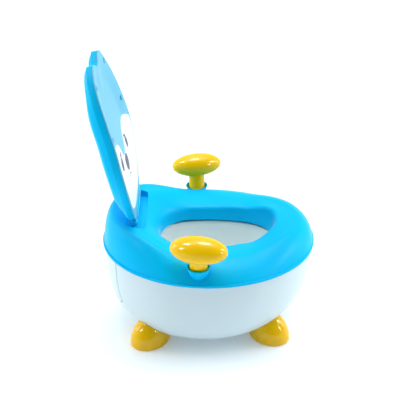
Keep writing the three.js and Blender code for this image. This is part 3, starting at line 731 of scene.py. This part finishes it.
def make_lid_front():
    """The thin printed moulding, from the middle of its face over the lip to its back."""
    thick, lip, edge_r = LID["front"], LID["lip"], LID["edge_r"]
    inner_edge = shrunk(LID_OUTLINE, lip)
    rows = [panel_points(to_middle(inner_edge, t), 0) for t in PANEL_STEPS[::-1]]
    for a in np.linspace(0, math.pi / 2, 5):
        ring = shrunk(LID_OUTLINE, lip - 0.9 * (1 - math.cos(a)))
        rows.append(lid_points(ring, -LID["recess"] * (1 - math.sin(a))))
    for a in np.linspace(0, math.pi / 2, 6):
        ring = shrunk(LID_OUTLINE, edge_r * (1 - math.sin(a)))
        rows.append(lid_points(ring, -edge_r * (1 - math.cos(a))))
    rows += [lid_points(LID_OUTLINE, -thick + 0.3), lid_points(shrunk(LID_OUTLINE, 0.3), -thick)]
    back = [to_middle(inner_edge, t) for t in PANEL_STEPS]
    rows += [lid_points(uv, -thick - dish(uv)) for uv in back]
    front = loft("lid_front", rows)
    boolean(front, "DIFFERENCE", lid_web(0.4), *ear_rooms())
    piece(front, "lid", "panel_blue", PANEL_BLUE, "lid_face", angle=50)


def make_lid_shell():
    """The crowned shell behind the front moulding, with the hinge barrel."""
    seam = LID["front"] + LID["seam"]
    inner_edge, edge = shrunk(LID_OUTLINE, LID["lip"]), shrunk(LID_OUTLINE, 0.2)
    against = [to_middle(inner_edge, t) for t in PANEL_STEPS[::-1]]
    rows = [lid_points(uv, -seam - dish(uv)) for uv in against]
    rows += [lid_points(shrunk(edge, 0.4), -seam), lid_points(edge, -seam - 0.4)]
    for t in SHELL_STEPS:
        ring = to_middle(edge, t)
        share = 0.72 + 0.28 * smooth(t / 0.07)
        rows.append(lid_points(ring, -lid_depth(ring[:, 1], t) * share))
    shell = loft("lid_shell", rows)
    h = HINGE
    barrel = rod("barrel", h["r"], -h["barrel"], h["barrel"], along_x(h["y"], h["z"]))
    boolean(shell, "UNION", barrel, lid_web(0))
    boolean(shell, "DIFFERENCE", *ear_rooms())
    piece(shell, "lid", "shell_blue", BLUE, "lid_back", angle=50)


def make_bumpers():
    r = BUMPER_R
    for level, (u, v, below) in BUMPERS.items():
        dome = [(r, -5), (r, -below - 0.5), (r - 0.4, -below - 0.1), (r - 1.2, -below)]
        for name, side in SIDES.items():
            p = lid_points([(side * u, v)], 0)[0]
            place = at(*p) @ Matrix.Rotation(math.pi / 2 - LID["tilt"], 4, "X")
            bumper = lathe(f"bumper_{level}_{name}", dome, 40, place)
            piece(bumper, "lid", "bumper_teal", TEAL, f"lid_bumper_{level}_{name}")


DECAL_GRID = 3.0


def decal(name, outline, material, top=0.12, bottom=-0.3):
    """A printed shape: a thin inlay that follows the lid's curve. The outline is (across, along).

    It is cut into a fine grid first, because the panel under it is curved both ways. A cut's place
    also gives its direction, so the middle line itself is not cut.
    """
    bm = bmesh.new()
    verts = [bm.verts.new((u, v, 0)) for u, v in outline]
    bm.faces.new(verts)
    for axis in (0, 1):
        low, high = min(p[axis] for p in outline), max(p[axis] for p in outline)
        for cut in np.arange(math.ceil(low / DECAL_GRID) * DECAL_GRID, high, DECAL_GRID):
            plane = [(cut, 0, 0), (0, cut, 0)][axis]
            bmesh.ops.bisect_plane(bm, geom=bm.verts[:] + bm.edges[:] + bm.faces[:], plane_co=plane,
                                   plane_no=plane)
    bmesh.ops.triangulate(bm, faces=bm.faces[:])
    flat = np.array([(v.co.x, v.co.y) for v in bm.verts])
    bm.verts.index_update()
    faces = [[v.index for v in f.verts] for f in bm.faces]
    border = [(e.verts[0].index, e.verts[1].index) for e in bm.edges if e.is_boundary]
    bm.free()
    n = len(flat)
    points = np.vstack([panel_points(flat, top), panel_points(flat, bottom)])
    solid = faces + [[i + n for i in reversed(f)] for f in faces] + [[a, b, b + n, a + n] for a, b in border]
    obj = mesh_object(name, points, solid)
    piece(obj, "lid", "panel_blue", material, angle=60)


# The plain animal face, as (across, along) on the lid; the eye and brow are round the eye's middle.
MASK_HALF = [(0, 92), (9, 94), (17, 101), (23, 113), (33, 124), (48, 130), (66, 130), (82, 125), (94, 117),
             (97.5, 106), (97, 94), (94, 82), (88.5, 68), (80, 50), (69, 33), (58, 24), (42, 17), (22, 13.5),
             (0, 12.5)]
EYE_MIDDLE = (42, 97)
EYE = [(-8, 5), (-4.5, 6.5), (1, 3.5), (4, 5), (8, 1), (9, -4), (7.5, -9.5), (3, -13), (-2.5, -12),
       (-6.5, -7.5), (-8.5, -1)]
BROW = [(-11.5, 12.5), (-9, 14.5), (-4, 12.5), (1, 9), (6, 7.2), (5.5, 5.6), (0, 6.2), (-5, 7.5), (-10, 7.5)]
NOSE_HALF = [(0, 91), (6, 90.5), (12, 87), (14.5, 81), (13.5, 74.5), (9.5, 69), (4.5, 65.5), (0, 64.5)]
MOUTH_HALF = [(0, 65.5), (0.9, 62), (1.1, 59), (3.5, 56.5), (8, 55.3), (8.4, 54.2), (4, 54.6), (0, 56.6)]


def make_print():
    decal("face_mask", catmull_rom(mirrored(MASK_HALF), 6), MASK_WHITE)
    for name, side in SIDES.items():
        for part, shape in (("eye", EYE), ("brow", BROW)):
            outline = [(side * (EYE_MIDDLE[0] + u), EYE_MIDDLE[1] + v) for u, v in catmull_rom(shape, 4)]
            decal(f"face_{part}_{name}", outline, SLATE, top=0.24, bottom=-0.2)
    decal("face_nose", catmull_rom(mirrored(NOSE_HALF), 5), SLATE, top=0.24, bottom=-0.2)
    decal("face_mouth", catmull_rom(mirrored(MOUTH_HALF), 4), SLATE, top=0.24, bottom=-0.2)


# ---------------------------------------------------------------- camera, floor and light
CAMERA = dict(target=(0.0, 0.0102, 0.218), azimuth=269.2, elevation=29.2, distance=1.335, lens=73.8)
FLOOR_HALF = 30.0
FLOOR_GLOW = 0.16
SHADE = (0.1, 0.125, 0.145, 1)
BRIGHT = (0.9, 0.9, 0.9, 1)
SURROUND = 0.85
# Each light: place, the point it faces, its size and its power.
SIDE_LIGHTS = {
    "side_front": ((0.25, -1.8, 0.75), (0, 0, 0.2), (0.7, 1.2), 13),
    "side_rear": ((0.2, 1.8, 0.8), (0, 0, 0.25), (0.7, 1.2), 13),
}
WINDOWS = {
    "window_rear": ((-0.1, 0.8, 1.6), (0, 0.8, 0.2), (0.36, 0.3), 20),
    "window_middle": ((0.1, -0.1, 1.75), (0, -0.1, 0.2), (0.5, 0.24), 22),
    "window_front": ((-0.2, -1.3, 1.1), (0, 0, 0.2), (0.3, 0.3), 17),
    "window_low_rear": ((-0.75, 1.25, 0.95), (0, 0, 0.1), (0.24, 0.34), 8),
    "window_low_front": ((-0.95, -1.3, 0.62), (0, 0, 0.1), (0.24, 0.34), 8),
}


def make_camera():
    target = Vector(CAMERA["target"])
    azimuth, elevation = math.radians(CAMERA["azimuth"]), math.radians(CAMERA["elevation"])
    back = Vector((math.sin(azimuth) * math.cos(elevation), -math.cos(azimuth) * math.cos(elevation),
                   math.sin(elevation)))
    data = bpy.data.cameras.new("camera")
    data.lens, data.sensor_width = CAMERA["lens"], 36.0
    cam = new_object("camera", data)
    cam.location = target + back * CAMERA["distance"]
    cam.rotation_euler = (-back).to_track_quat("-Z", "Y").to_euler()
    bpy.context.scene.camera = cam


def make_floor():
    mesh = bpy.data.meshes.new("floor")
    s = FLOOR_HALF
    mesh.from_pydata([(-s, -s, 0), (s, -s, 0), (s, s, 0), (-s, s, 0)], [], [(0, 1, 2, 3)])
    floor = new_object("floor", mesh)
    mat = plastic("floor_white", linear(242, 250, 254), linear(241, 249, 253), 0.9, 0.02, grain=0.0,
                  specular=0.1)
    shader = mat.node_tree.nodes["Principled BSDF"]
    shader.inputs["Emission Color"].default_value = (0.9, 0.97, 1, 1)
    shader.inputs["Emission Strength"].default_value = FLOOR_GLOW
    floor.data.materials.append(mat)


def area_light(name, place, look_at, size, watts):
    data = bpy.data.lights.new(name, "AREA")
    data.shape = "RECTANGLE"
    data.size, data.size_y = size
    data.energy = watts
    obj = new_object(name, data)
    obj.location = place
    obj.rotation_euler = (Vector(look_at) - Vector(place)).to_track_quat("-Z", "Y").to_euler()
    return obj


def make_world():
    """White surroundings that turn darker on the camera's side."""
    world = bpy.data.worlds.new("studio")
    bpy.context.scene.world = world
    world.use_nodes = True
    nodes, links = world.node_tree.nodes, world.node_tree.links
    background = nodes["Background"]
    place = nodes.new("ShaderNodeTexCoord")
    split = nodes.new("ShaderNodeSeparateXYZ")
    links.new(place.outputs["Generated"], split.inputs[0])
    ramp = nodes.new("ShaderNodeMapRange")
    ramp.inputs["From Min"].default_value = -0.75
    ramp.inputs["From Max"].default_value = 0.25
    links.new(split.outputs["X"], ramp.inputs["Value"])
    tint = nodes.new("ShaderNodeMix")
    tint.data_type = "RGBA"
    tint.inputs[6].default_value = SHADE
    tint.inputs[7].default_value = BRIGHT
    links.new(ramp.outputs["Result"], tint.inputs[0])
    links.new(tint.outputs[2], background.inputs["Color"])
    background.inputs["Strength"].default_value = SURROUND


def make_light():
    """A soft overhead light, two broad side lights, and windows that only show in glossy surfaces."""
    make_world()
    sun = bpy.data.lights.new("overhead", "SUN")
    sun.energy = 1.75
    sun.angle = math.radians(50)
    obj = new_object("overhead", sun)
    obj.rotation_euler = (math.radians(6), math.radians(10), 0)
    for name, settings in SIDE_LIGHTS.items():
        area_light(name, *settings)
    for name, settings in WINDOWS.items():
        area_light(name, *settings).visible_diffuse = False
    bpy.context.scene.view_settings.view_transform = "Standard"


make_camera()
for node_name, node in frame["nodes"].items():
    slot_name = next(s["material_slot"] for s in frame["record"]["subparts"] if s["node"] == node_name)
    node.data.materials.clear()
    node.data.materials.append(SLOT_MATERIAL[slot_name])

make_seat()
make_tub()
make_bowl()
make_feet()
make_grips()
make_lid_front()
make_lid_shell()
make_bumpers()
make_print()
make_floor()
make_light()
